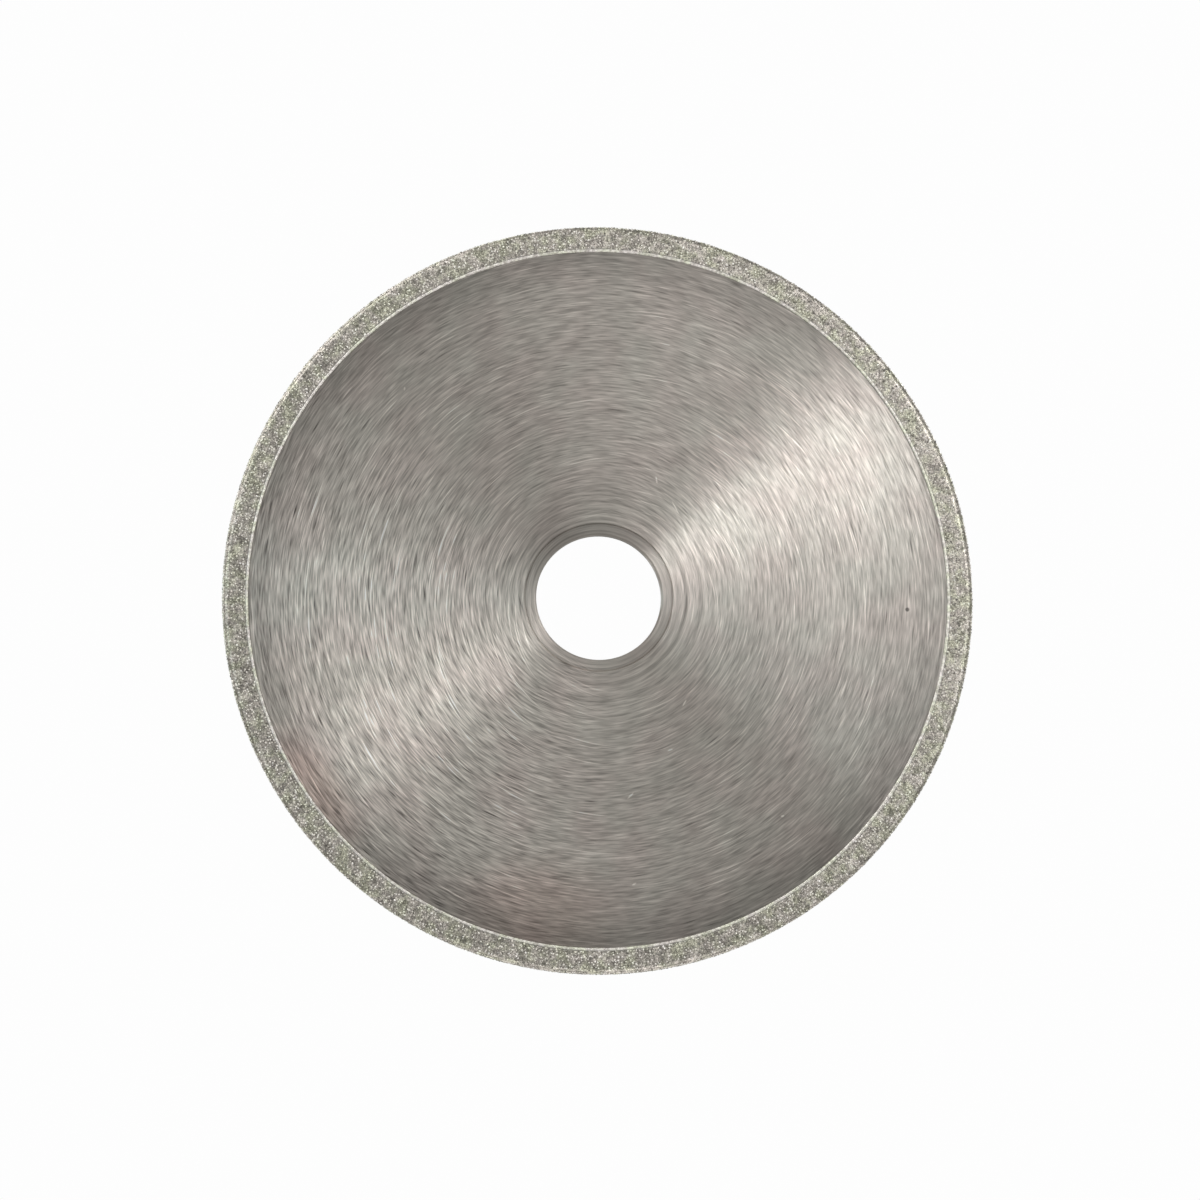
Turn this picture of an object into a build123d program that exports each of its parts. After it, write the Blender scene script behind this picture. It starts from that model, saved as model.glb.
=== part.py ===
from build123d import *
from build123d.topology import SkipClean
import os

# Electroplated diamond grinding wheel, in millimetres.
#
# The wheel stands upright on its rim: it spins about Y, +Z is up, and the
# origin is the centre of the arbor hole, midway through the thickness. Every
# piece is turned about the same axis, so each one is a profile drawn with
# radius along X and thickness along Y, revolved about Y.

# Overall sizes
WHEEL_DIAMETER = 152.4  # over the diamond grains, 6 in
ARBOR_DIAMETER = 25.4  # the hole that the arbor goes through, 1 in
CORE_THICKNESS = 3.2  # the ground steel blank
RIM_FACE_WIDTH = 5.44  # the plated band on each face, from its inner edge to the outside

# Plated rim
NICKEL_THICKNESS = 0.25  # depth of nickel over the steel
GRAIN_STANDOUT = 0.15  # how far the grains stand out of the nickel
CORE_CORNER_RADIUS = 1.0  # rounding of the steel under the plating
BEAD_RADIUS = 0.32  # build-up of nickel along the band's inner edge

# Shallow V groove turned in each face, just inside the band
GROOVE_WIDTH = 1.2
GROOVE_DEPTH = 0.03
GROOVE_MARGIN = 0.1  # flat steel left between the groove and the band

# Reducing bush in the middle
BUSH_DIAMETER = 30.0  # outside of the bush, and its seat in the core
ARBOR_CHAMFER = 0.3  # on both ends of the arbor hole
SEAM_CHAMFER = 0.15  # on the bush and on its seat, which leaves a fine groove

# Worked out from the sizes above
WHEEL_RADIUS = WHEEL_DIAMETER / 2
NICKEL_RADIUS = WHEEL_RADIUS - GRAIN_STANDOUT
CORE_RADIUS = NICKEL_RADIUS - NICKEL_THICKNESS
HALF_CORE = CORE_THICKNESS / 2
BAND_INNER_RADIUS = WHEEL_RADIUS - RIM_FACE_WIDTH
BEAD_CENTRE_RADIUS = BAND_INNER_RADIUS + BEAD_RADIUS
GRAIN_INNER_RADIUS = BAND_INNER_RADIUS + 2 * BEAD_RADIUS
GROOVE_MIDDLE_RADIUS = BAND_INNER_RADIUS - GROOVE_MARGIN - GROOVE_WIDTH / 2

# The plated layers are thin for their size, so they are turned in equal sectors. A mesh of
# one then has its inner and outer walls divided alike, and stays even all the way round.
SECTORS = 8


def disc_section(inner_radius, outer_radius, half_thickness):
    """Half of a flat ring's cross-section, square at every corner."""
    width = outer_radius - inner_radius
    middle = (inner_radius + outer_radius) / 2
    return Pos(middle, 0) * Rectangle(width, 2 * half_thickness)


def rim_section(inner_radius, growth):
    """The core's rim grown by a layer, with its outside corners kept concentric."""
    section = disc_section(inner_radius, CORE_RADIUS + growth, HALF_CORE + growth)
    outside = section.vertices().group_by(Axis.X)[-1]
    return fillet(outside, CORE_CORNER_RADIUS + growth)


def turned(section):
    """The whole ring that a cross-section sweeps round the wheel's axis."""
    return revolve(section, axis=Axis.Y, revolution_arc=360)


def turned_in_sectors(section):
    """The same ring as one solid, with each of its faces divided into equal sectors."""
    angle = 360 / SECTORS
    sector = revolve(section, axis=Axis.Y, revolution_arc=angle)
    ring = Part()
    with SkipClean():
        for k in range(SECTORS):
            ring += Rot(0, k * angle, 0) * sector
    return ring


def groove_section(side):
    """The V cut out of one face, drawn on past the surface at the same slope to twice its size."""
    outside = side * (HALF_CORE + GROOVE_DEPTH)
    mouth = [(GROOVE_MIDDLE_RADIUS + end * GROOVE_WIDTH, outside) for end in (-1, 1)]
    bottom = (GROOVE_MIDDLE_RADIUS, side * (HALF_CORE - GROOVE_DEPTH))
    return make_face(Polyline(*mouth, bottom, close=True))


def steel_core():
    """Flat blank with rounded outside corners, a seat for the bush and a groove in each face."""
    section = rim_section(BUSH_DIAMETER / 2, growth=0)
    seat = section.vertices().group_by(Axis.X)[0]
    section = chamfer(seat, SEAM_CHAMFER)
    for side in (1, -1):
        section -= groove_section(side)
    return turned(section)


def bore_bush():
    """Thin steel ring pressed into the core, bored to the arbor's size."""
    section = disc_section(ARBOR_DIAMETER / 2, BUSH_DIAMETER / 2, HALF_CORE)
    bore_corners = section.vertices().group_by(Axis.X)[0]
    section = chamfer(bore_corners, ARBOR_CHAMFER)
    seat_corners = section.vertices().group_by(Axis.X)[-1]
    return turned(chamfer(seat_corners, SEAM_CHAMFER))


def nickel_bond():
    """Plated jacket round the rim and over the edge of both faces, beaded where it ends."""
    section = rim_section(BEAD_CENTRE_RADIUS, NICKEL_THICKNESS)
    for side in (1, -1):
        section += Pos(BEAD_CENTRE_RADIUS, side * HALF_CORE) * Circle(BEAD_RADIUS)
    return turned_in_sectors(section - rim_section(0, growth=0))


def diamond_grit():
    """The layer that the grains fill, from the nickel's surface to their tips."""
    section = rim_section(GRAIN_INNER_RADIUS, NICKEL_THICKNESS + GRAIN_STANDOUT)
    section -= rim_section(0, NICKEL_THICKNESS)
    return turned_in_sectors(section)


os.makedirs("parts", exist_ok=True)
export_step(steel_core(), "parts/steel_core.step")
export_step(bore_bush(), "parts/bore_bush.step")
export_step(nickel_bond(), "parts/nickel_bond.step")
export_step(diamond_grit(), "parts/diamond_grit.step")
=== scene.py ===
import math

import bmesh
import bpy
import numpy as np
from mathutils import Matrix, Vector, noise

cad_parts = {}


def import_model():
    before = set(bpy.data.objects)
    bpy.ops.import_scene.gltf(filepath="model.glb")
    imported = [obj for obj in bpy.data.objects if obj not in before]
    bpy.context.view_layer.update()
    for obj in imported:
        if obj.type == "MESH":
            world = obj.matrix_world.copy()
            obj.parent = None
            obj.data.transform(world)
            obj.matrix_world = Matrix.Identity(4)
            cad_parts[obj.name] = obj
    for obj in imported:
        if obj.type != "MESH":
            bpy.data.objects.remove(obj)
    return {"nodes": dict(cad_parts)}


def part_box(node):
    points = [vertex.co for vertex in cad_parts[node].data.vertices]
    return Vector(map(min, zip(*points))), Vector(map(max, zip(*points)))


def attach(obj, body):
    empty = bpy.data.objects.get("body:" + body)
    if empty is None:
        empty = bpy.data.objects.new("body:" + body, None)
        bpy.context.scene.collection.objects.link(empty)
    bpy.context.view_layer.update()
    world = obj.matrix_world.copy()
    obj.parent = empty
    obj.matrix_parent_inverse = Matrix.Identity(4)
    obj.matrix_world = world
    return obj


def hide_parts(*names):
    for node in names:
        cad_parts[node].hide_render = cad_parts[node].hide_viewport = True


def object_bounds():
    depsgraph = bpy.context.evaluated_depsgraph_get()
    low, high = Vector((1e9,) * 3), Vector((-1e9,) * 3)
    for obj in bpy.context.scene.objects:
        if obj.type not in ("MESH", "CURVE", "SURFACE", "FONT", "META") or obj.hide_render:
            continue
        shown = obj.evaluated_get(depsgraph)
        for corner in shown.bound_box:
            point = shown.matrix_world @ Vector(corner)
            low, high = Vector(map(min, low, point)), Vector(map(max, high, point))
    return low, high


# A diamond grinding wheel, upright, spinning about Y. The camera looks along +Y at its front face.
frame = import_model()
cad_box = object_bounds()

MM = 0.001
PER_MM = 1000  # scale of a noise with one feature per millimetre
BODY = "root"
rng = np.random.default_rng(20261116)

# ---------------------------------------------------------------- sizes, read from the frame
core_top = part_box("steel_core")[1]
nickel_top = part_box("nickel_bond")[1]
CORE_RADIUS, HALF_CORE = core_top.x, core_top.y
NICKEL_RADIUS = nickel_top.x
WHEEL_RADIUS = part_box("diamond_grit")[1].x
STANDOUT = WHEEL_RADIUS - NICKEL_RADIUS  # how far the grains stand out of the nickel
NICKEL = NICKEL_RADIUS - CORE_RADIUS  # the nickel's thickness
HALF_NICKEL = HALF_CORE + NICKEL
BEAD = nickel_top.y - HALF_CORE  # radius of the bead along the band's inner edge
CORE_CORNER = 1.0 * MM  # rounding of the steel under the plating


def inner_radius(node):
    """How near to the axis a CAD node comes."""
    return min(math.hypot(v.co.x, v.co.z) for v in frame["nodes"][node].data.vertices)


BAND_INNER = inner_radius("nickel_bond")
GRAIN_INNER = inner_radius("diamond_grit")
BORE_RADIUS = inner_radius("bore_bush")


# ---------------------------------------------------------------- material helpers
class Tree:
    """Builds one material's node tree, with short forms for the nodes used here."""

    def __init__(self, name):
        self.material = bpy.data.materials.new(name)
        self.material.use_nodes = True
        self.nodes = self.material.node_tree.nodes
        self.links = self.material.node_tree.links
        self.surface = self.nodes["Principled BSDF"]

    def feed(self, socket, value):
        """Links a socket to another, or sets its number or colour."""
        if isinstance(value, bpy.types.NodeSocket):
            self.links.new(value, socket)
        else:
            socket.default_value = value

    def add(self, kind, *values, **settings):
        """A new node with its first inputs fed in order."""
        node = self.nodes.new(kind)
        for key, value in settings.items():
            setattr(node, key, value)
        for socket, value in zip(node.inputs, values):
            self.feed(socket, value)
        return node

    def math(self, operation, a, b=0.0):
        return self.add("ShaderNodeMath", a, b, operation=operation).outputs[0]

    def vector(self, operation, a, b=(0, 0, 0)):
        node = self.add("ShaderNodeVectorMath", a, b, operation=operation)
        single = operation in ("LENGTH", "DOT_PRODUCT")
        return node.outputs[1 if single else 0]

    def scaled(self, a, factor):
        node = self.add("ShaderNodeVectorMath", a, operation="SCALE")
        self.feed(node.inputs["Scale"], factor)
        return node.outputs[0]

    def combine(self, x, y, z):
        return self.add("ShaderNodeCombineXYZ", x, y, z).outputs[0]

    def position(self):
        return self.add("ShaderNodeTexCoord").outputs["Object"]

    def noise(self, vector, scale, detail=2.0, roughness=0.5):
        node = self.nodes.new("ShaderNodeTexNoise")
        self.feed(node.inputs["Vector"], vector)
        node.inputs["Scale"].default_value = scale
        node.inputs["Detail"].default_value = detail
        node.inputs["Roughness"].default_value = roughness
        return node.outputs[0]

    def cells(self, vector):
        """Distance to the nearest of many scattered points, and that point's random number."""
        node = self.nodes.new("ShaderNodeTexVoronoi")
        node.inputs["Scale"].default_value = 1.0
        self.feed(node.inputs["Vector"], vector)
        return node.outputs["Distance"], self.split(node.outputs["Color"])[0]

    def split(self, vector):
        return self.add("ShaderNodeSeparateXYZ", vector).outputs

    def total(self, *terms):
        """The sum of (value, factor) terms."""
        result = 0.0
        for value, factor in terms:
            sum_node = self.add("ShaderNodeMath", value, factor, result, operation="MULTIPLY_ADD")
            result = sum_node.outputs[0]
        return result

    def remap(self, value, low, high, to_low, to_high, smooth=False):
        node = self.nodes.new("ShaderNodeMapRange")
        if smooth:
            node.interpolation_type = "SMOOTHSTEP"
        for socket, number in zip(node.inputs, (value, low, high, to_low, to_high)):
            self.feed(socket, number)
        return node.outputs[0]

    def ramp(self, value, *stops):
        """A colour ramp through (place, (r, g, b)) stops."""
        node = self.add("ShaderNodeValToRGB", value)
        elements = node.color_ramp.elements
        while len(elements) < len(stops):
            elements.new(0.5)
        for element, (place, colour) in zip(elements, stops):
            element.position = place
            element.color = (*colour, 1)
        return node.outputs[0]

    def mix(self, factor, a, b):
        node = self.nodes.new("ShaderNodeMix")
        node.data_type = "RGBA"
        colour_inputs = [s for s in node.inputs if s.type == "RGBA"]
        self.feed(node.inputs[0], factor)
        self.feed(colour_inputs[0], a)
        self.feed(colour_inputs[1], b)
        return next(s for s in node.outputs if s.type == "RGBA")

    def set(self, **inputs):
        """Feeds the Principled node, with _ for each space in a socket's name."""
        for name, value in inputs.items():
            self.feed(self.surface.inputs[name.replace("_", " ")], value)


# How far from its middle a scratch ends, and where it is at its full depth
SCRATCH_TAPER = (0.50, 0.12)


class Polar:
    """Radius, direction and grinding marks round the wheel's axis, for one tree."""

    def __init__(self, tree, centre=(0, 0, 0)):
        self.tree = tree
        moved = tree.vector("SUBTRACT", tree.position(), centre)
        self.flat = tree.vector("MULTIPLY", moved, (1, 0, 1))
        self.radius = tree.vector("LENGTH", self.flat)
        self.outward = tree.vector("NORMALIZE", self.flat)
        self.around = tree.vector("CROSS_PRODUCT", (0, 1, 0), self.outward)

    def drawn_out(self, pitch, length, seed):
        """A place in a pattern stretched round the axis: pitch across it, length along it."""
        t = self.tree
        across = t.math("DIVIDE", self.radius, pitch)
        along = t.scaled(self.flat, 1 / length)
        return t.vector("ADD", along, t.combine(seed, across, seed))

    def streaks(self, pitch, length, seed, detail=1.0):
        """Soft streaks, about zero."""
        value = self.tree.noise(self.drawn_out(pitch, length, seed), 1.0, detail)
        return self.tree.math("SUBTRACT", value, 0.5)

    def scratches(self, pitch, length, seed, share):
        """Separate tapered scratches, from 0 to 1 deep. Only a share of the places have one."""
        t = self.tree
        distance, chance = t.cells(self.drawn_out(pitch, length, seed))
        body = t.remap(distance, *SCRATCH_TAPER, 0, 1, smooth=True)
        return t.math("MULTIPLY", body, t.remap(chance, 1 - share, 1, 0, 1))


# ---------------------------------------------------------------- steel
STEEL = (0.62, 0.577, 0.533)
BUSH_STEEL = tuple(c * 0.90 for c in STEEL)
ROUGHNESS, ROUGHNESS_DRIFT = 0.34, 0.07
ANISOTROPY = 0.93
# What the grinding marks run round: the axis, or a point off it, where the grinding wandered
CENTRES = {
    "axis": (0, 0, 0),
    "right": (4.0 * MM, 0, -2.5 * MM),
    "left": (-2.0 * MM, 0, 3.0 * MM),
}
# Separate scratches in the tone: centre, width and length in mm, seed, share of the places that
# have one, weight
SCRATCHES = (
    ("axis", 0.36, 5.0, 3.1, 0.60, 0.6),
    ("right", 0.36, 14.0, 17.4, 0.45, 1.1),
    ("left", 0.36, 5.0, 31.9, 0.50, -0.6),
)
# Soft streaks in the tone: centre, width and length in mm, seed, weight
STREAKS = (
    ("axis", 0.32, 3.4, 40.2, 2.1),
    ("right", 0.75, 4.5, 57.5, 0.45),
)
# The marks' contrast is painted stronger towards one angle, where the lower-left highlight falls,
# and they give way to turned rings near the bore
PAINTED_LOBE_ANGLE, PAINTED_LOBE_SPAN, PAINTED_LOBE_CONTRAST = 205, (0.3, 0.95), 1.7
RINGS_END = 32 * MM
RINGS_AT_BORE, RINGS_FAR_OUT = 1.3, 0.15
MARKS_AT_BORE = 0.6
# Turned rings: width and length in mm, seed, weight, layers of detail
RINGS = (
    (1.5, 60, 12.7, 0.5, 3.0),
    (0.5, 45, 22.3, 1.0, 1.0),
)
# Broad soft streaks, in the tone and in the roughness: width and length in mm, seed, weight
BROAD_STREAKS, BROAD_WEIGHT = (2.6, 22, 71.3), 0.22
# The grooves' own relief: ridges about a wandering centre and steps about the axis, each given by
# width and length in mm and seed. The steps also have a weight, and their mean is taken off.
RIDGES = (0.40, 2.6, 83.6)
STEPS, STEPS_SHARE, STEPS_WEIGHT, STEPS_MEAN = (0.50, 6, 96.2), 0.7, 0.5, 0.1
# Painted shade, partly staining, on the steel beside an edge: the edge's radius, how far the
# darkening reaches, how strong it is all round, and how much stronger towards an angle
SHADE_AND_STAIN_BY_EDGES = (
    (BORE_RADIUS, 9 * MM, 0.13, 0.12, 100),
    (BAND_INNER, 9 * MM, 0.21, 0.05, 215),
    (BAND_INNER, 20 * MM, 0.13, 0.08, 260),
)
# Faint drift of the steel's hue over the face
HUE_SCALE = 0.09 * PER_MM
GREENER, REDDER = (1.0, 1.014, 1.002), (1.02, 0.988, 0.988)
# Small marks on the front face, in mm and degrees: radius, angle from +X towards +Z, length,
# width, direction, shade
FRONT_MARKS = (
    (62.7, -2, 0.9, 0.9, 0, 0.35),
    (27.5, -51, 1.6, 0.35, 60, 1.7),
    (34.1, -65, 1.2, 0.35, 20, 1.6),
    (40.7, -81, 1.8, 0.40, 45, 1.7),
    (57.7, -50, 0.8, 0.50, 10, 1.7),
    (57.9, 133, 0.8, 0.40, 80, 1.5),
    (26.7, 64, 1.5, 0.35, 100, 1.6),
    (24.1, 50, 3.0, 0.30, 118, 1.5),
    (58.4, -83, 1.0, 0.40, 30, 1.5),
)
# Faint warm reflections painted into the steel's colour beside the band, laid out the same way,
# with a tint for the shade
PAINTED_WARM_REFLECTIONS = (
    (69.5, 214, 30.0, 12.0, 304, (1.03, 0.91, 0.89)),
    (66.0, 259, 34.0, 26.0, 349, (1.03, 0.955, 0.94)),
)
# Where a mark or a painted reflection starts to fade and where it ends, when its own outline is at
# 0.5
MARK_FADE, REFLECTION_FADE = (0.3, 0.6), (0.1, 0.65)


def toward(angle):
    """Unit vector across the wheel's face, at an angle from +X towards +Z."""
    a = math.radians(angle)
    return (math.cos(a), 0, math.sin(a))


def ground_steel(name, tint, coarse, contrast, slope):
    """Rotary-ground steel: its grooves run round the axis and fan each highlight out radially."""
    t = Tree(name)
    polars = {centre: Polar(t, place) for centre, place in CENTRES.items()}
    polar = polars["axis"]

    marks = []
    for centre, width, length, seed, share, weight in SCRATCHES:
        scratches = polars[centre].scratches(width * MM * coarse, length * MM, seed, share)
        marks.append((scratches, weight))
    for centre, width, length, seed, weight in STREAKS:
        marks.append((polars[centre].streaks(width * MM * coarse, length * MM, seed), weight))
    # Painted highlight: the marks' contrast in the colour rises towards the lower-left highlight
    side = t.vector("DOT_PRODUCT", polar.outward, toward(PAINTED_LOBE_ANGLE))
    painted_lobe_boost = t.remap(side, *PAINTED_LOBE_SPAN, 1, PAINTED_LOBE_CONTRAST, smooth=True)
    near_bore = t.remap(polar.radius, BORE_RADIUS, RINGS_END, 1, 0, smooth=True)
    marks = t.math("MULTIPLY", t.total(*marks), t.remap(near_bore, 0, 1, 1, MARKS_AT_BORE))
    marks = t.math("MULTIPLY", marks, painted_lobe_boost)

    rings = []
    for width, length, seed, weight, detail in RINGS:
        rings.append((polar.streaks(width * MM, length * MM, seed, detail), weight))
    ring_depth = t.remap(near_bore, 0, 1, RINGS_FAR_OUT, RINGS_AT_BORE)
    rings = t.math("MULTIPLY", t.total(*rings), ring_depth)

    width, length, seed = BROAD_STREAKS
    broad = polar.streaks(width * MM, length * MM, seed)
    tone = t.total((marks, contrast), (broad, BROAD_WEIGHT), (rings, 1.0), (1.0, 1.0))
    # Painted shade, partly staining: darker beside the bore and the band, and towards the bottom
    for edge_shade_and_stain in SHADE_AND_STAIN_BY_EDGES:
        tone = t.math("MULTIPLY", tone, shade_and_stain_by_edge(t, polar, *edge_shade_and_stain))

    colour = t.ramp(
        t.noise(t.position(), HUE_SCALE, 2),
        (0.35, tuple(c * f for c, f in zip(tint, GREENER))),
        (0.65, tuple(c * f for c, f in zip(tint, REDDER))),
    )
    t.set(
        Base_Color=front_marks(t, t.scaled(colour, tone)),
        Metallic=1.0,
        Roughness=t.total((broad, ROUGHNESS_DRIFT), (ROUGHNESS, 1.0)),
        Anisotropic=ANISOTROPY,
    )
    grooved(t, polar, polars["left"], coarse, slope)
    return t.material


def grooved(t, polar, wandering, coarse, slope):
    """Tilts the surface across its grooves, and lays the highlights' stretch across them."""
    normal = t.add("ShaderNodeNewGeometry").outputs["Normal"]
    across = t.vector("CROSS_PRODUCT", polar.around, normal)
    width, length, seed = RIDGES
    ridges = wandering.streaks(width * MM * coarse, length * MM, seed)
    width, length, seed = STEPS
    steps = polar.scratches(width * MM * coarse, length * MM, seed, STEPS_SHARE)
    tilt = t.total((ridges, slope), (steps, slope * STEPS_WEIGHT), (slope * -STEPS_MEAN, 1.0))
    tilted = t.vector("ADD", normal, t.scaled(across, tilt))
    t.set(Tangent=across, Normal=t.vector("NORMALIZE", tilted))


def shade_and_stain_by_edge(t, polar, radius, reach, even, uneven, around):
    """Painted shade, partly staining, on the steel near one edge: darker all round it, and more so
    on one side.
    """
    gap = t.math("ABSOLUTE", t.math("SUBTRACT", polar.radius, radius))
    nearness = t.remap(gap, 0, reach, 1, 0, smooth=True)
    side = t.vector("DOT_PRODUCT", polar.outward, toward(around))
    depth = t.math("MULTIPLY", nearness, t.total((side, uneven), (even, 1.0)))
    return t.math("SUBTRACT", 1.0, depth)


def away(t, spot, radius, around, length, width, turn):
    """Distance from a mark's middle, where the mark's own ends and sides are 0.5 away."""
    middle = tuple(radius * MM * c for c in toward(around))
    offset = t.vector("SUBTRACT", spot, middle)
    along = t.vector("DOT_PRODUCT", offset, tuple(c / (length * MM) for c in toward(turn)))
    across = t.vector("DOT_PRODUCT", offset, tuple(c / (width * MM) for c in toward(turn + 90)))
    return t.vector("LENGTH", t.combine(along, across, 0.0))


def front_marks(t, colour):
    """Adds the few nicks and the spot that the front face has, and warm reflections painted beside
    the band.
    """
    spot = t.position()
    front = t.math("LESS_THAN", t.split(spot)[1], 0)

    def cover_of(shape, fade):
        """How much of a place a mark covers, from 0 to 1, on the front face alone."""
        nearness = t.remap(away(t, spot, *shape), *fade, 1, 0, smooth=True)
        return t.math("MULTIPLY", nearness, front)

    for *shape, shade in FRONT_MARKS:
        colour = t.scaled(colour, t.total((cover_of(shape, MARK_FADE), shade - 1), (1.0, 1.0)))
    # Painted reflections: warm tints mixed into the colour beside the band
    for *shape, tint in PAINTED_WARM_REFLECTIONS:
        reflection_tinted = t.vector("MULTIPLY", colour, tint)
        colour = t.mix(cover_of(shape, REFLECTION_FADE), colour, reflection_tinted)
    return colour


def finish_node(node, material):
    """Gives a CAD node its finished material."""
    materials = frame["nodes"][node].data.materials
    materials.clear()
    materials.append(material)


finish_node(
    "steel_core",
    ground_steel("ground_steel", STEEL, coarse=1.0, contrast=0.54, slope=0.32),
)
finish_node(
    "bore_bush",
    ground_steel("turned_steel", BUSH_STEEL, coarse=0.8, contrast=0.35, slope=0.12),
)


# ---------------------------------------------------------------- the plated nickel
SEGMENTS = 1440  # round the rim, about a third of a millimetre each
# Lumps of the plating, in mm: how far apart, how high, and how far all of it is sunk to make room
LUMP_PITCH, LUMP_HEIGHT, LUMP_SINK = 0.55, 0.035, 0.02
# Tints of the tarnish, from mauve to yellow-green
TARNISH = (
    (0.38, (1.0, 0.965, 0.985)),
    (0.50, (1.0, 0.99, 0.97)),
    (0.62, (0.975, 1.0, 0.90)),
)
# The nickel down between the grains, darker as painted shade, and the smooth bead beside them, with
# a painted highlight along its crest
SHADED_BETWEEN = ((0.3, (0.27, 0.255, 0.225)), (0.7, (0.60, 0.57, 0.51)))
SMOOTH = ((0.36, (0.60, 0.573, 0.525)), (0.62, (1.0, 0.975, 0.92)))
BETWEEN_ROUGHNESS, BEAD_ROUGHNESS = 0.40, 0.55
# Painted highlight along the bead's crest: where it fades, in bead radii, and the painted shade on
# its flanks
CREST_HIGHLIGHT_SPAN, FLANK_PAINTED_SHADE = (0.5 * BEAD, 1.1 * BEAD), 0.4
SPECKLE = (0.36, 0.64, 0.53, 1.70)  # range of the fine noise, and the shades it gives
GRAINS_BEGIN = (GRAIN_INNER, GRAIN_INNER + 0.2 * MM)
BUMP_DEPTH, BUMP_STRENGTH = 0.03 * MM, 0.8


def arc(centre, radius, start, end, steps):
    """Points of an arc in (radius, thickness) with angles in degrees from outward."""
    angles = np.radians(np.linspace(start, end, steps))
    return [(centre[0] + radius * math.cos(a), centre[1] + radius * math.sin(a)) for a in angles]


def line(start, end, steps):
    """Evenly spaced points from start up to, but not at, end."""
    share = np.linspace(0, 1, steps, endpoint=False)
    return [(start[0] + (end[0] - start[0]) * s, start[1] + (end[1] - start[1]) * s) for s in share]


def mirrored(points):
    """An outline's other half, on the opposite face, run through the other way."""
    return [(r, -y) for r, y in reversed(points)]


def nickel_outline():
    """The jacket's section, as its visible outside and then its inside over the steel."""
    bead_centre = (BAND_INNER + BEAD, HALF_CORE)
    bead_end = 180 - math.degrees(math.pi - math.asin(NICKEL / BEAD))
    bead = arc(bead_centre, BEAD, 180, bead_end, 9)
    face_end = (CORE_RADIUS - CORE_CORNER, HALF_NICKEL)
    face = line(bead[-1], face_end, 12)[1:]
    corner = arc((face_end[0], HALF_CORE - CORE_CORNER), CORE_CORNER + NICKEL, 90, 0, 8)
    outside = bead + face + corner
    edge = line(corner[-1], (NICKEL_RADIUS, -corner[-1][1]), 5)[1:]
    steel_corner = arc((face_end[0], HALF_CORE - CORE_CORNER), CORE_CORNER, 0, 90, 5)
    return outside + edge + mirrored(outside), mirrored(steel_corner) + steel_corner


def ring_mesh(name, points, push):
    """A ring swept from a closed section. Push moves each point along its radius and thickness."""
    count = len(points)
    section = np.array(points)
    angles = np.arange(SEGMENTS)[:, None] * 2 * math.pi / SEGMENTS
    radius = section[:, 0] + push[..., 0]
    thick = section[:, 1] + push[..., 1]
    co = np.stack([radius * np.cos(angles), thick, radius * np.sin(angles)], axis=-1)
    near = np.arange(SEGMENTS)[:, None] * count + np.arange(count)
    ahead = np.roll(near, -1, axis=0)
    quads = np.stack([near, np.roll(near, -1, axis=1), np.roll(ahead, -1, axis=1), ahead], axis=-1)
    mesh = bpy.data.meshes.new(name)
    mesh.from_pydata(co.reshape(-1, 3).tolist(), [], quads.reshape(-1, 4).tolist())
    mesh.validate()
    mesh.shade_smooth()
    return mesh


def place(name, mesh, material, slot, node):
    """Links a finished piece in for the CAD node that it stands for."""
    piece = bpy.data.objects.new(name, mesh)
    bpy.context.scene.collection.objects.link(piece)
    mesh.materials.append(material)
    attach(piece, BODY)
    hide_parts(node)


def lumps(points, visible):
    """Small hills of the plating, as a push along the normal of each of the visible points."""
    section = np.array(points)
    along = np.roll(section, -1, axis=0) - np.roll(section, 1, axis=0)
    normals = np.stack([-along[:, 1], along[:, 0]], axis=-1)
    normals /= np.linalg.norm(normals, axis=1, keepdims=True)
    push = np.zeros((SEGMENTS, len(points), 2))
    for k in range(SEGMENTS):
        angle = k * 2 * math.pi / SEGMENTS
        for i in range(visible):
            r, y = points[i]
            spot = Vector((r * math.cos(angle), y, r * math.sin(angle)))
            hill = noise.noise(spot / (LUMP_PITCH * MM)) * LUMP_HEIGHT
            push[k, i] = normals[i] * (hill * MM - LUMP_SINK * MM)
    return push


def tarnish(t, colour):
    """Patches a few millimetres across that lean to yellow-green and to mauve."""
    patch = t.noise(t.position(), 0.42 * PER_MM, 2)
    return t.vector("MULTIPLY", colour, t.ramp(patch, *TARNISH))


def plated_nickel():
    """Satin nickel, with a painted highlight along the crest of the smooth bead and painted shade
    between the grains.
    """
    t = Tree("plated_nickel")
    spot = t.position()
    radius = Polar(t).radius
    grain = t.noise(spot, 3.5 * PER_MM, 3, 0.6)
    bump = t.nodes.new("ShaderNodeBump")
    bump.inputs["Distance"].default_value = BUMP_DEPTH
    bump.inputs["Strength"].default_value = BUMP_STRENGTH
    t.feed(bump.inputs["Height"], grain)
    # Painted shade: the nickel between the grains is darker
    between = t.ramp(t.noise(spot, 0.5 * PER_MM, 2), *SHADED_BETWEEN)
    between = t.scaled(between, t.remap(grain, *SPECKLE))
    smooth = t.ramp(t.noise(spot, 1.8 * PER_MM, 3, 0.6), *SMOOTH)
    # Painted highlight along the bead's crest, with painted shade on its flanks
    off_crest = t.math("ABSOLUTE", t.math("SUBTRACT", radius, BAND_INNER + BEAD))
    crest = t.remap(off_crest, *CREST_HIGHLIGHT_SPAN, 1, FLANK_PAINTED_SHADE, smooth=True)
    among_grains = t.remap(radius, *GRAINS_BEGIN, 0, 1, smooth=True)
    t.set(
        Base_Color=tarnish(t, t.mix(among_grains, t.scaled(smooth, crest), between)),
        Metallic=1.0,
        Roughness=t.remap(among_grains, 0, 1, BEAD_ROUGHNESS, BETWEEN_ROUGHNESS),
        Normal=bump.outputs[0],
    )
    return t.material


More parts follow.
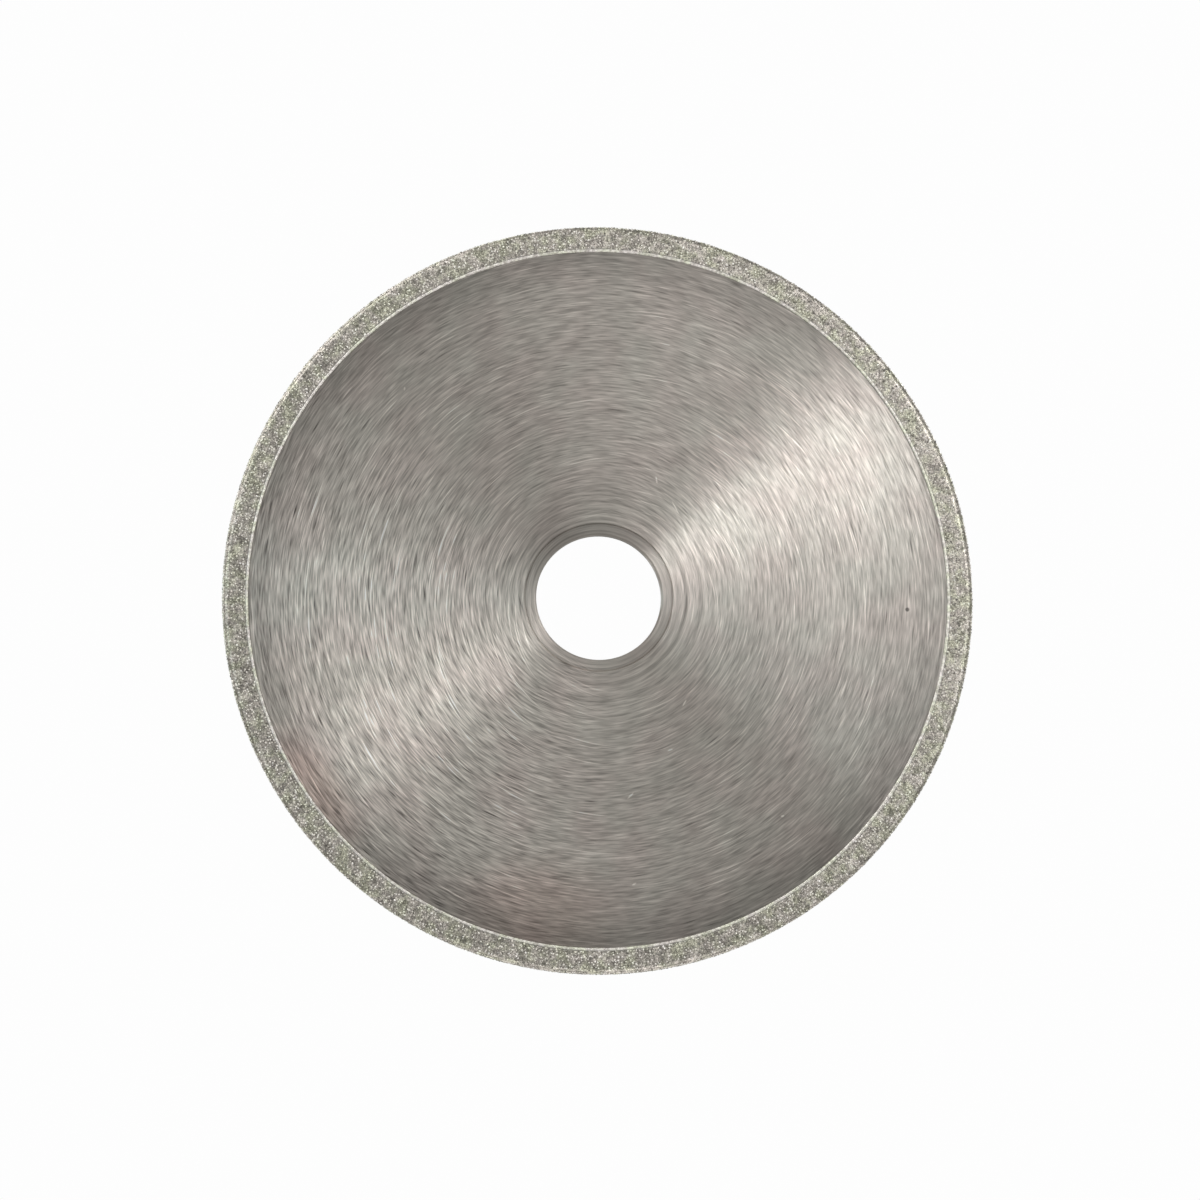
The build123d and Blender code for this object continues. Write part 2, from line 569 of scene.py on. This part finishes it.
visible, hidden = nickel_outline()
outline = visible + hidden
nickel_mesh = ring_mesh("nickel_bond", outline, lumps(outline, len(visible)))
place("nickel_plating", nickel_mesh, plated_nickel(), "nickel_plate", "nickel_bond")


# ---------------------------------------------------------------- the diamond grains
GRAIN = 0.48 * MM
PITCH = 0.60 * MM
ROW = PITCH * 0.86
JITTER = 0.22  # how far a grain strays from its place, in pitches
MISSING = 0.03  # share of the places with no grain
SIZES, STRETCHES = (0.8, 1.25), (0.85, 1.15)
TIPS = (0.45, 0.99)  # how far out a grain's tip reaches, as a share of the stand-out
SHAPE_SHARES = (0.35, 0.15, 0.5)  # of cubes, octahedra and cuboctahedra
# Colours of the crystals, from the darkest to the palest, and their roughness
DIAMOND = (
    (0.0, (0.08, 0.072, 0.058)),
    (0.25, (0.37, 0.35, 0.298)),
    (0.5, (0.74, 0.704, 0.618)),
    (0.75, (0.92, 0.883, 0.796)),
    (1.0, (1.0, 0.98, 0.92)),
)
DARK_ROUGHNESS, PALE_ROUGHNESS = 0.42, 0.26
DIAMOND_IOR = 2.0
MOTTLE = (0.3, 0.7, 0.75, 1.2)  # range of the mottling's noise, and the shades it gives
# The nickel's outline under the grains: flat on each face, round the corners and along the edge
FACE_LENGTH = CORE_RADIUS - CORE_CORNER - GRAIN_INNER
CORNER_RADIUS = CORE_CORNER + NICKEL
CORNER_LENGTH = CORNER_RADIUS * math.pi / 2
EDGE_LENGTH = 2 * (HALF_CORE - CORE_CORNER)
HALF_LENGTH = FACE_LENGTH + CORNER_LENGTH + EDGE_LENGTH / 2


def hull(points):
    """Vertices and triangles of a convex crystal whose furthest corner is one unit out."""
    bm = bmesh.new()
    for p in points:
        bm.verts.new(p)
    bmesh.ops.convex_hull(bm, input=bm.verts)
    bmesh.ops.triangulate(bm, faces=bm.faces)
    bmesh.ops.recalc_face_normals(bm, faces=bm.faces)
    bm.verts.index_update()
    co = np.array([v.co[:] for v in bm.verts])
    triangles = np.array([[v.index for v in f.verts] for f in bm.faces])
    bm.free()
    return co / np.linalg.norm(co, axis=1).max(), triangles


def crystals():
    """The shapes of grown diamond grit: cubes, octahedra and the cuboctahedra between them."""
    steps = (-1, 0, 1)
    lattice = [(a, b, c) for a in steps for b in steps for c in steps]
    return [hull([p for p in lattice if sum(map(abs, p)) == size]) for size in (3, 1, 2)]


def rim_point(s):
    """Place and normal on the nickel, both in (radius, thickness).

    s is how far along the outline it is, from the grains' inner edge on the front face.
    """
    side = 1 if s <= HALF_LENGTH else -1
    s = s if s <= HALF_LENGTH else 2 * HALF_LENGTH - s
    if s < FACE_LENGTH:
        return GRAIN_INNER + s, -side * HALF_NICKEL, 0.0, -side
    if s < FACE_LENGTH + CORNER_LENGTH:
        a = math.pi / 2 - (s - FACE_LENGTH) / CORNER_RADIUS
        r = CORE_RADIUS - CORE_CORNER + CORNER_RADIUS * math.cos(a)
        y = HALF_CORE - CORE_CORNER + CORNER_RADIUS * math.sin(a)
        return r, -side * y, math.cos(a), -side * math.sin(a)
    y = EDGE_LENGTH / 2 - (s - FACE_LENGTH - CORNER_LENGTH)
    return NICKEL_RADIUS, -side * y, 1.0, 0.0


def random_turns(count):
    """Random rotation matrices."""
    q = rng.normal(size=(count, 4))
    q /= np.linalg.norm(q, axis=1, keepdims=True)
    w, x, y, z = q.T
    rows = [
        [1 - 2 * (y * y + z * z), 2 * (x * y - z * w), 2 * (x * z + y * w)],
        [2 * (x * y + z * w), 1 - 2 * (x * x + z * z), 2 * (y * z - x * w)],
        [2 * (x * z - y * w), 2 * (y * z + x * w), 1 - 2 * (x * x + y * y)],
    ]
    return np.array([[np.broadcast_to(c, count) for c in row] for row in rows]).transpose(2, 0, 1)


def scattered(start, end):
    """Places and normals of grains over the nickel, from start to end along its outline."""
    places, normals = [], []
    for k in range(int((end - start) / ROW) + 1):
        s_row = start + (k + 0.5) * ROW
        if s_row > end:
            break
        radius = rim_point(s_row)[0]
        around = int(2 * math.pi * radius / PITCH)
        shift = rng.random()
        jitter = rng.normal(0, JITTER, size=(around, 2))
        keep = rng.random(around) > MISSING
        for i in range(around):
            if not keep[i]:
                continue
            s = min(max(s_row + jitter[i, 0] * ROW, start), end)
            r, y, nr, ny = rim_point(s)
            a = (i + shift + jitter[i, 1]) / around * 2 * math.pi
            places.append((r * math.cos(a), y, r * math.sin(a)))
            normals.append((nr * math.cos(a), ny, nr * math.sin(a)))
    return np.array(places), np.array(normals)


def grain_mesh(name, start, end):
    """Grains from start to end along the nickel's outline, each turned at random and half sunk."""
    places, normals = scattered(start, end)
    count = len(places)
    turns = random_turns(count)
    sizes = GRAIN / 2 * rng.uniform(*SIZES, size=(count, 1))
    stretch = rng.uniform(*STRETCHES, size=(count, 3))
    kind = rng.choice(len(SHAPES), size=count, p=SHAPE_SHARES)
    proud = STANDOUT * rng.uniform(*TIPS, size=count)
    tone = rng.random(count)
    vertices, faces, tones, base = [], [], [], 0
    for number, (shape_co, shape_tris) in enumerate(SHAPES):
        which = np.nonzero(kind == number)[0]
        stretched = shape_co * stretch[which][:, None, :]
        turned = np.einsum("nij,nvj->nvi", turns[which], stretched) * sizes[which][:, None]
        height = np.einsum("nvi,ni->nv", turned, normals[which])
        lift = proud[which] - height.max(axis=1)
        set_in = turned + places[which][:, None] + normals[which][:, None] * lift[:, None, None]
        vertices.append(set_in.reshape(-1, 3))
        index = base + np.arange(len(which))[:, None, None] * len(shape_co) + shape_tris
        faces.append(index.reshape(-1, 3))
        tones.append(np.repeat(tone[which], len(shape_co)))
        base += len(which) * len(shape_co)
    mesh = bpy.data.meshes.new(name)
    mesh.from_pydata(np.concatenate(vertices).tolist(), [], np.concatenate(faces).tolist())
    attribute = mesh.attributes.new("tone", "FLOAT", "POINT")
    attribute.data.foreach_set("value", np.concatenate(tones).astype(np.float32))
    mesh.shade_flat()
    return mesh


def diamond():
    """Synthetic diamond: glassy grey to yellow-green crystals, each of its own shade."""
    t = Tree("diamond")
    tone = t.add("ShaderNodeAttribute", attribute_name="tone").outputs["Fac"]
    mottle = t.noise(t.position(), 2.5 * PER_MM, 2)
    colour = t.scaled(t.ramp(tone, *DIAMOND), t.remap(mottle, *MOTTLE))
    t.set(
        Base_Color=tarnish(t, colour),
        Metallic=0.0,
        Roughness=t.remap(tone, 0, 1, DARK_ROUGHNESS, PALE_ROUGHNESS),
        IOR=DIAMOND_IOR,
    )
    return t.material


SHAPES = crystals()
diamond_material = diamond()
WHOLE_LENGTH = 2 * HALF_LENGTH
MID_CORNER = FACE_LENGTH + CORNER_LENGTH * 0.5
for name, start, end in (
    ("grains_front", 0, MID_CORNER),
    ("grains_edge", MID_CORNER, WHOLE_LENGTH - MID_CORNER),
    ("grains_back", WHOLE_LENGTH - MID_CORNER, WHOLE_LENGTH),
):
    place(name, grain_mesh(name, start, end), diamond_material, "diamond_grain", "diamond_grit")


# ---------------------------------------------------------------- floor, light and camera
FLOOR_HALF_SIZE = 2.0
FLOOR_COLOUR, FLOOR_ROUGHNESS = (0.86, 0.86, 0.85, 1), 0.9
# How far from the wheel the floor starts to fade into the backdrop, and where it is gone
FLOOR_SOLID, FLOOR_GONE = 0.12, 0.60

WHITE, COOL, COOLER = (1.0, 1.0, 1.0), (0.93, 1.0, 1.02), (0.82, 1.0, 1.03)
LIGHT_DISTANCE = 0.6
BACKDROP = (0.985, 0.985, 0.985, 1)
# Brightness of the room that the wheel reflects, before its faces and at its sides, and how far
# round from the sides it changes
ROOM_FRONT, ROOM_SIDE = 0.40, 0.6
ROOM_TINT = (0.985, 0.988, 0.965, 1)
SIDES_END, FRONT_START = 0.03, 0.30

VIEW_AZIMUTH, VIEW_ELEVATION = -2.8, -6.0
VIEW_DISTANCE = 0.95
VIEW_SHIFT = (0.0012, -0.0016)
FRAME_SHARE = 0.6265  # the wheel's width in the picture


def floor():
    """Pale floor that throws no light back on the wheel, fades out, and is clear from below."""
    size, low = FLOOR_HALF_SIZE, cad_box[0].z
    mesh = bpy.data.meshes.new("floor")
    corners = [(-size, -size, low), (size, -size, low), (size, size, low), (-size, size, low)]
    mesh.from_pydata(corners, [], [(0, 1, 2, 3)])
    t = Tree("floor")
    t.set(Base_Color=FLOOR_COLOUR, Roughness=FLOOR_ROUGHNESS)
    distance = t.vector("LENGTH", t.vector("MULTIPLY", t.position(), (1, 1, 0)))
    faded = t.remap(distance, FLOOR_SOLID, FLOOR_GONE, 0, 1, smooth=True)
    below = t.add("ShaderNodeNewGeometry").outputs["Backfacing"]
    unseen = t.math("MAXIMUM", faded, below)
    clear = t.nodes.new("ShaderNodeBsdfTransparent")
    mixed = t.add("ShaderNodeMixShader", unseen, t.surface.outputs[0], clear.outputs[0])
    t.links.new(mixed.outputs[0], t.nodes["Material Output"].inputs[0])
    mesh.materials.append(t.material)
    piece = bpy.data.objects.new("floor", mesh)
    piece.visible_glossy = piece.visible_diffuse = False
    bpy.context.scene.collection.objects.link(piece)


def group(name, nodes):
    """A collection of pieces for a light to be kept to."""
    collection = bpy.data.collections.new(name)
    for node in nodes:
        collection.objects.link(bpy.data.objects[node])
    return collection


floor()
RIM_PIECES = ("nickel_plating", "grains_front", "grains_edge", "grains_back")
EVERYTHING = None
RIM = group("rim", RIM_PIECES)
WHEEL = group("wheel", ("steel_core", "bore_bush", *RIM_PIECES))
FLOOR = group("floor", ("floor",))
# Softboxes, each made once before the front face and once before the back: direction round the
# axis and away from it, width, height, brightness, tint, and what they light. Those kept to the
# wheel pass through the floor, and the raking ones only pick out the grains. The overhead one is
# for the floor, and its two copies are in one place.
LIGHTS = (
    ("key", 34, 40, 0.12, 0.21, 4.35, WHITE, EVERYTHING),
    ("key_edge", 42, 40, 0.08, 0.21, 2.1, WHITE, EVERYTHING),
    ("key_side", 24, 40, 0.09, 0.21, 0.8, WHITE, WHEEL),
    ("fill", 12, 40, 0.18, 0.21, 2.05, WHITE, WHEEL),
    ("spill", -13, 40, 0.16, 0.21, 1.25, COOL, WHEEL),
    ("top", 60, 22, 0.14, 0.14, 0.45, WHITE, EVERYTHING),
    ("upper", 78, 40, 0.30, 0.30, 0.33, WHITE, WHEEL),
    ("left", 172, 50, 0.16, 0.30, 1.4, COOLER, WHEEL),
    ("low", 207, 40, 0.12, 0.21, 1.25, WHITE, WHEEL),
    ("rake", 135, 62, 0.50, 0.20, 3.2, WHITE, RIM),
    ("rake_low", 275, 62, 0.50, 0.20, 1.8, WHITE, RIM),
    ("overhead", 90, 90, 1.20, 1.20, 0.62, WHITE, FLOOR),
)


def direction(around, off_axis):
    """Unit vector off_axis degrees from the front face's normal, and around from +X towards +Z."""
    a, o = math.radians(around), math.radians(off_axis)
    return Vector((math.sin(o) * math.cos(a), -math.cos(o), math.sin(o) * math.sin(a)))


def softbox(name, around, off_axis, wide, tall, brightness, tint, lit):
    """A soft light aimed at the wheel: wide measures it round the wheel's axis, tall across."""
    towards = direction(around, off_axis)
    light = bpy.data.lights.new(name, "AREA")
    light.shape = "RECTANGLE"
    light.size, light.size_y = wide, tall
    light.energy = brightness * math.pi * wide * tall
    light.color = tint
    piece = bpy.data.objects.new(name, light)
    piece.light_linking.receiver_collection = lit
    if lit is not FLOOR:
        piece.light_linking.blocker_collection = lit
    piece.visible_camera = False
    sideways = towards.cross(Vector((0, 1, 0))).normalized()
    turn = Matrix((sideways, towards.cross(sideways), towards)).transposed()
    piece.matrix_world = Matrix.Translation(towards * LIGHT_DISTANCE) @ turn.to_4x4()
    bpy.context.scene.collection.objects.link(piece)


def world():
    """Even white behind the wheel, which itself reflects a dimmer room, brighter at its sides."""
    w = bpy.data.worlds.new("studio")
    bpy.context.scene.world = w
    w.use_nodes = True
    nodes, links = w.node_tree.nodes, w.node_tree.links
    backdrop = nodes["Background"]
    backdrop.inputs["Color"].default_value = BACKDROP
    towards = nodes.new("ShaderNodeTexCoord")
    split = nodes.new("ShaderNodeSeparateXYZ")
    off_side = nodes.new("ShaderNodeMath")
    off_side.operation = "ABSOLUTE"
    shade = nodes.new("ShaderNodeMapRange")
    shade.interpolation_type = "SMOOTHSTEP"
    shade.inputs["From Min"].default_value = SIDES_END
    shade.inputs["From Max"].default_value = FRONT_START
    shade.inputs["To Min"].default_value = ROOM_SIDE
    shade.inputs["To Max"].default_value = ROOM_FRONT
    links.new(towards.outputs["Generated"], split.inputs[0])
    links.new(split.outputs["Y"], off_side.inputs[0])
    links.new(off_side.outputs[0], shade.inputs[0])
    room = nodes.new("ShaderNodeBackground")
    room.inputs["Color"].default_value = ROOM_TINT
    links.new(shade.outputs[0], room.inputs["Strength"])
    rays = nodes.new("ShaderNodeLightPath")
    mixed = nodes.new("ShaderNodeMixShader")
    links.new(rays.outputs["Is Camera Ray"], mixed.inputs[0])
    links.new(room.outputs[0], mixed.inputs[1])
    links.new(backdrop.outputs[0], mixed.inputs[2])
    links.new(mixed.outputs[0], nodes["World Output"].inputs[0])


def camera():
    """Long lens, nearly square on to the front face, a little low and to the left."""
    data = bpy.data.cameras.new("camera")
    piece = bpy.data.objects.new("camera", data)
    bpy.context.scene.collection.objects.link(piece)
    a, e = math.radians(VIEW_AZIMUTH), math.radians(VIEW_ELEVATION)
    back = Vector((math.sin(a) * math.cos(e), -math.cos(a) * math.cos(e), math.sin(e)))
    piece.location = back * VIEW_DISTANCE
    piece.rotation_mode = "QUATERNION"
    piece.rotation_quaternion = back.to_track_quat("Z", "Y")
    seen_width = 2 * WHEEL_RADIUS / FRAME_SHARE
    data.lens = data.sensor_width * VIEW_DISTANCE / seen_width
    data.shift_x, data.shift_y = VIEW_SHIFT
    bpy.context.scene.camera = piece


world()
for name, around, off_axis, *settings in LIGHTS:
    softbox("front_" + name, around, off_axis, *settings)
    softbox("back_" + name, around, 180 - off_axis, *settings)
camera()
bpy.context.scene.view_settings.view_transform = "Standard"
